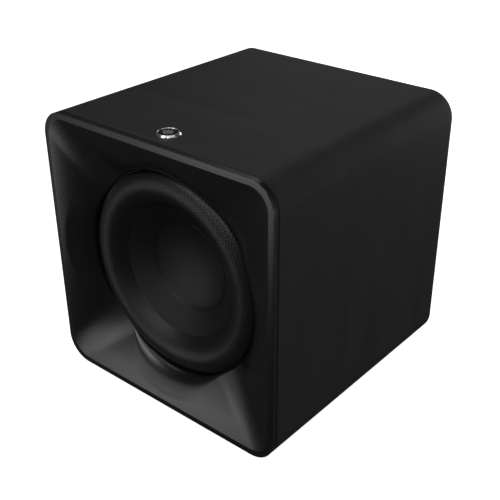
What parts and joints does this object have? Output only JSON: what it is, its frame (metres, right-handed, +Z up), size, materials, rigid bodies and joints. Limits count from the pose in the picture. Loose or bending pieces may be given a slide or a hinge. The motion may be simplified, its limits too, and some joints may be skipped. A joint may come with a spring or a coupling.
{
  "type": "subwoofer",
  "caption": "Cube-shaped powered subwoofer with a rounded black cabinet, a horn-shaped front round a deep woofer, a badge on top, and a rear port and amplifier plate.",
  "frame": {"origin": "on the floor under the cabinet's centre: x and y at the middle of the cabinet, z at the underside of the feet", "axes": "+X to the right as seen from the front, -Y out of the front, +Z up"},
  "size_m": [0.4, 0.4, 0.415],
  "materials": {
    "cabinet_wrap": "black ash wood-grain vinyl over board, satin",
    "board": "raw medium-density fibreboard",
    "rear_paint": "board painted matte black",
    "wadding": "polyester wadding",
    "bezel_plastic": "moulded, soft satin black",
    "foam": "closed-cell foam, black",
    "black_screw": "black oxide",
    "zinc_screw": "bright zinc",
    "badge_chrome": "polished chrome",
    "badge_black": "gloss black enamel",
    "foot_rubber": "matte black rubber",
    "port_plastic": "fine-textured black",
    "basket_paint": "textured black powder coat on cast aluminium",
    "surround_rubber": "black rubber with a fine ribbed texture",
    "cone_fibre": "black woven-fibre pulp, matte",
    "cap_fibre": "black woven-fibre pulp, matte",
    "former_aluminium": "rolled foil",
    "copper_winding": "enamelled copper",
    "spider_cloth": "resin-dipped cotton",
    "plated_steel": "zinc plated",
    "ferrite": "sintered ferrite, matte grey-black",
    "terminal_plastic": "black nylon",
    "tinsel": "braided copper tinsel",
    "harness_pvc": "black PVC sleeve",
    "plate_paint": "fine-textured black powder coat on steel",
    "box_steel": "galvanised sheet",
    "brass_post": "turned brass",
    "circuit_board": "green solder mask on glass epoxy",
    "transformer_core": "ferrite core with taped winding",
    "capacitor_can": "sleeved aluminium can",
    "heatsink_aluminium": "extruded",
    "inlet_plastic": "black nylon",
    "nickel_pin": "nickel-plated brass",
    "phono_shell": "plated brass",
    "phono_white": "white",
    "phono_red": "red",
    "pot_body": "moulded case with a metal bush",
    "shaft_steel": "turned",
    "knob_plastic": "satin black, fluted, with a pale pointer",
    "switch_plastic": "black nylon",
    "rocker_plastic": "satin black",
    "led_lens": "clear lens, unlit"
  },
  "bodies": {
    "cabinet": {"cabinet_shell": "cabinet_wrap", "front_baffle": "board", "rear_panel": "rear_paint", "internal_brace": "board", "acoustic_damping": "wadding", "front_bezel": "bezel_plastic", "bezel_gasket": "foam", "bezel_screws": "zinc_screw", "badge_ring": "badge_chrome", "badge_face": "badge_black", "foot_front_left": "foot_rubber", "foot_front_right": "foot_rubber", "foot_rear_left": "foot_rubber", "foot_rear_right": "foot_rubber", "foot_screws": "zinc_screw", "port_tube": "port_plastic", "port_flare": "port_plastic", "woofer_basket": "basket_paint", "woofer_gasket": "foam", "woofer_screws": "black_screw", "surround": "surround_rubber", "spider": "spider_cloth", "top_plate": "plated_steel", "magnet": "ferrite", "pole_yoke": "plated_steel", "terminal_block": "terminal_plastic", "tinsel_leads": "tinsel", "speaker_harness": "harness_pvc", "amp_plate": "plate_paint", "amp_gasket": "foam", "amp_box": "box_steel", "amp_screws": "black_screw", "board_standoffs": "brass_post", "power_board": "circuit_board", "amplifier_board": "circuit_board", "transformer": "transformer_core", "supply_capacitors": "capacitor_can", "heatsink": "heatsink_aluminium", "control_board": "circuit_board", "mains_inlet": "inlet_plastic", "inlet_pins": "nickel_pin", "rca_shell_left": "phono_shell", "rca_shell_right": "phono_shell", "rca_insulator_left": "phono_white", "rca_insulator_right": "phono_red", "gain_pot": "pot_body", "lowpass_pot": "pot_body", "phase_switch_body": "switch_plastic", "power_switch_body": "switch_plastic", "status_led": "led_lens"},
    "cone_assembly": {"cone": "cone_fibre", "dust_cap": "cap_fibre", "coil_former": "former_aluminium", "voice_coil": "copper_winding"},
    "gain_control": {"gain_knob": "knob_plastic", "gain_shaft": "shaft_steel"},
    "lowpass_control": {"lowpass_knob": "knob_plastic", "lowpass_shaft": "shaft_steel"},
    "phase_lever": {"phase_slider": "rocker_plastic"},
    "power_lever": {"power_rocker": "rocker_plastic"}
  },
  "joints": [
    {"name": "cone_travel", "type": "slide", "parent": "cabinet", "child": "cone_assembly", "axis": [0, -1, 0], "range_m": [-0.01, 0.01], "stiffness_N_per_m": 2500, "deforming": ["surround", "spider", "tinsel_leads"]},
    {"name": "gain_turn", "type": "hinge", "parent": "cabinet", "child": "gain_control", "pos_m": [0.028, 0.193, 0.177], "axis": [0, 1, 0], "range_deg": [-150, 150]},
    {"name": "lowpass_turn", "type": "hinge", "parent": "cabinet", "child": "lowpass_control", "pos_m": [-0.022, 0.193, 0.177], "axis": [0, 1, 0], "range_deg": [-150, 150]},
    {"name": "phase_slide", "type": "slide", "parent": "cabinet", "child": "phase_lever", "axis": [-1, 0, 0], "range_m": [0, 0.004]},
    {"name": "power_rock", "type": "hinge", "parent": "cabinet", "child": "power_lever", "pos_m": [-0.03, 0.184, 0.083], "axis": [1, 0, 0], "range_deg": [-16, 0]}
  ]
}
